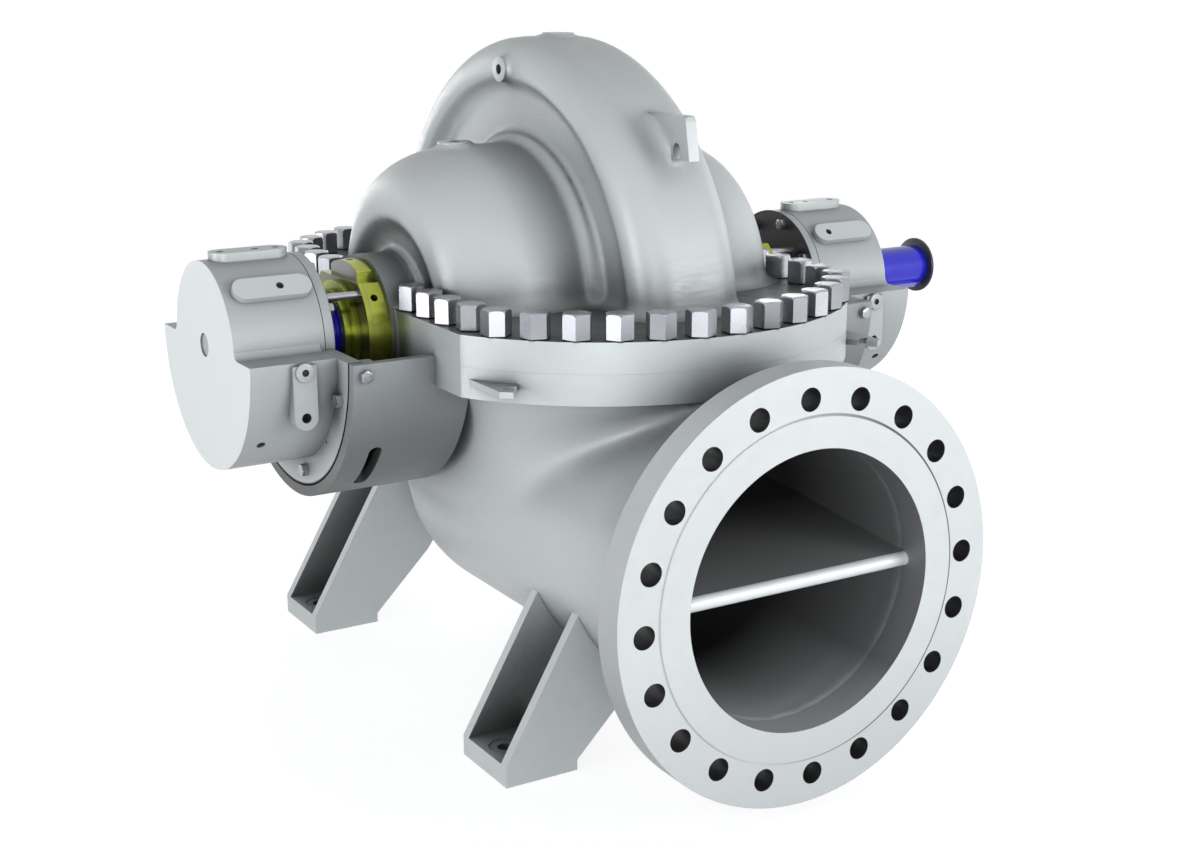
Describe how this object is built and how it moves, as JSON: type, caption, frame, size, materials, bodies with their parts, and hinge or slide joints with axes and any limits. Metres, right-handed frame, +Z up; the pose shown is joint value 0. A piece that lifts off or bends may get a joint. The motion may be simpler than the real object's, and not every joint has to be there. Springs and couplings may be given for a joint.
{
  "type": "horizontal split case pump",
  "caption": "Horizontal split case pump with a tall volute, side suction and discharge flanges, bearing housings at both ends and a keyed drive shaft.",
  "frame": {"origin": "centre of the four foot bolt holes, on the floor under the feet", "axes": "+X along the shaft towards its free drive end, -Y out of the suction flange, +Y out of the discharge flange, +Z up"},
  "size_m": [1.705, 1.661, 1.291],
  "materials": {
    "cast_grey": "smooth light grey casting, satin",
    "machined_grey": "machined light grey, satin",
    "olive_gland": "turned yellow metal, fine lathe lines",
    "blue_shaft": "bright blue, glossy",
    "dark_disc": "dark grey steel, satin"
  },
  "bodies": {
    "casing": {"bearing_bracket_left": "cast_grey", "bearing_bracket_right": "cast_grey", "bearing_housing_lower_left": "machined_grey", "bearing_housing_lower_right": "machined_grey", "bearing_housing_upper_left": "machined_grey", "bearing_housing_upper_right": "machined_grey", "discharge_flange": "machined_grey", "foot_back_left": "cast_grey", "foot_back_right": "cast_grey", "foot_front_left": "cast_grey", "foot_front_right": "cast_grey", "gland_left": "olive_gland", "gland_right": "olive_gland", "lower_casing": "cast_grey", "seal_plate_left": "olive_gland", "seal_plate_right": "olive_gland", "suction_flange": "machined_grey", "suction_splitter": "cast_grey", "upper_casing": "cast_grey"},
    "rotor": {"end_disc": "dark_disc", "shaft": "blue_shaft", "shaft_key": "blue_shaft"}
  },
  "joints": [
    {"name": "shaft_turn", "type": "hinge", "parent": "casing", "child": "rotor", "pos_m": [0, 0, 0.75], "axis": [1, 0, 0], "continuous": true}
  ]
}
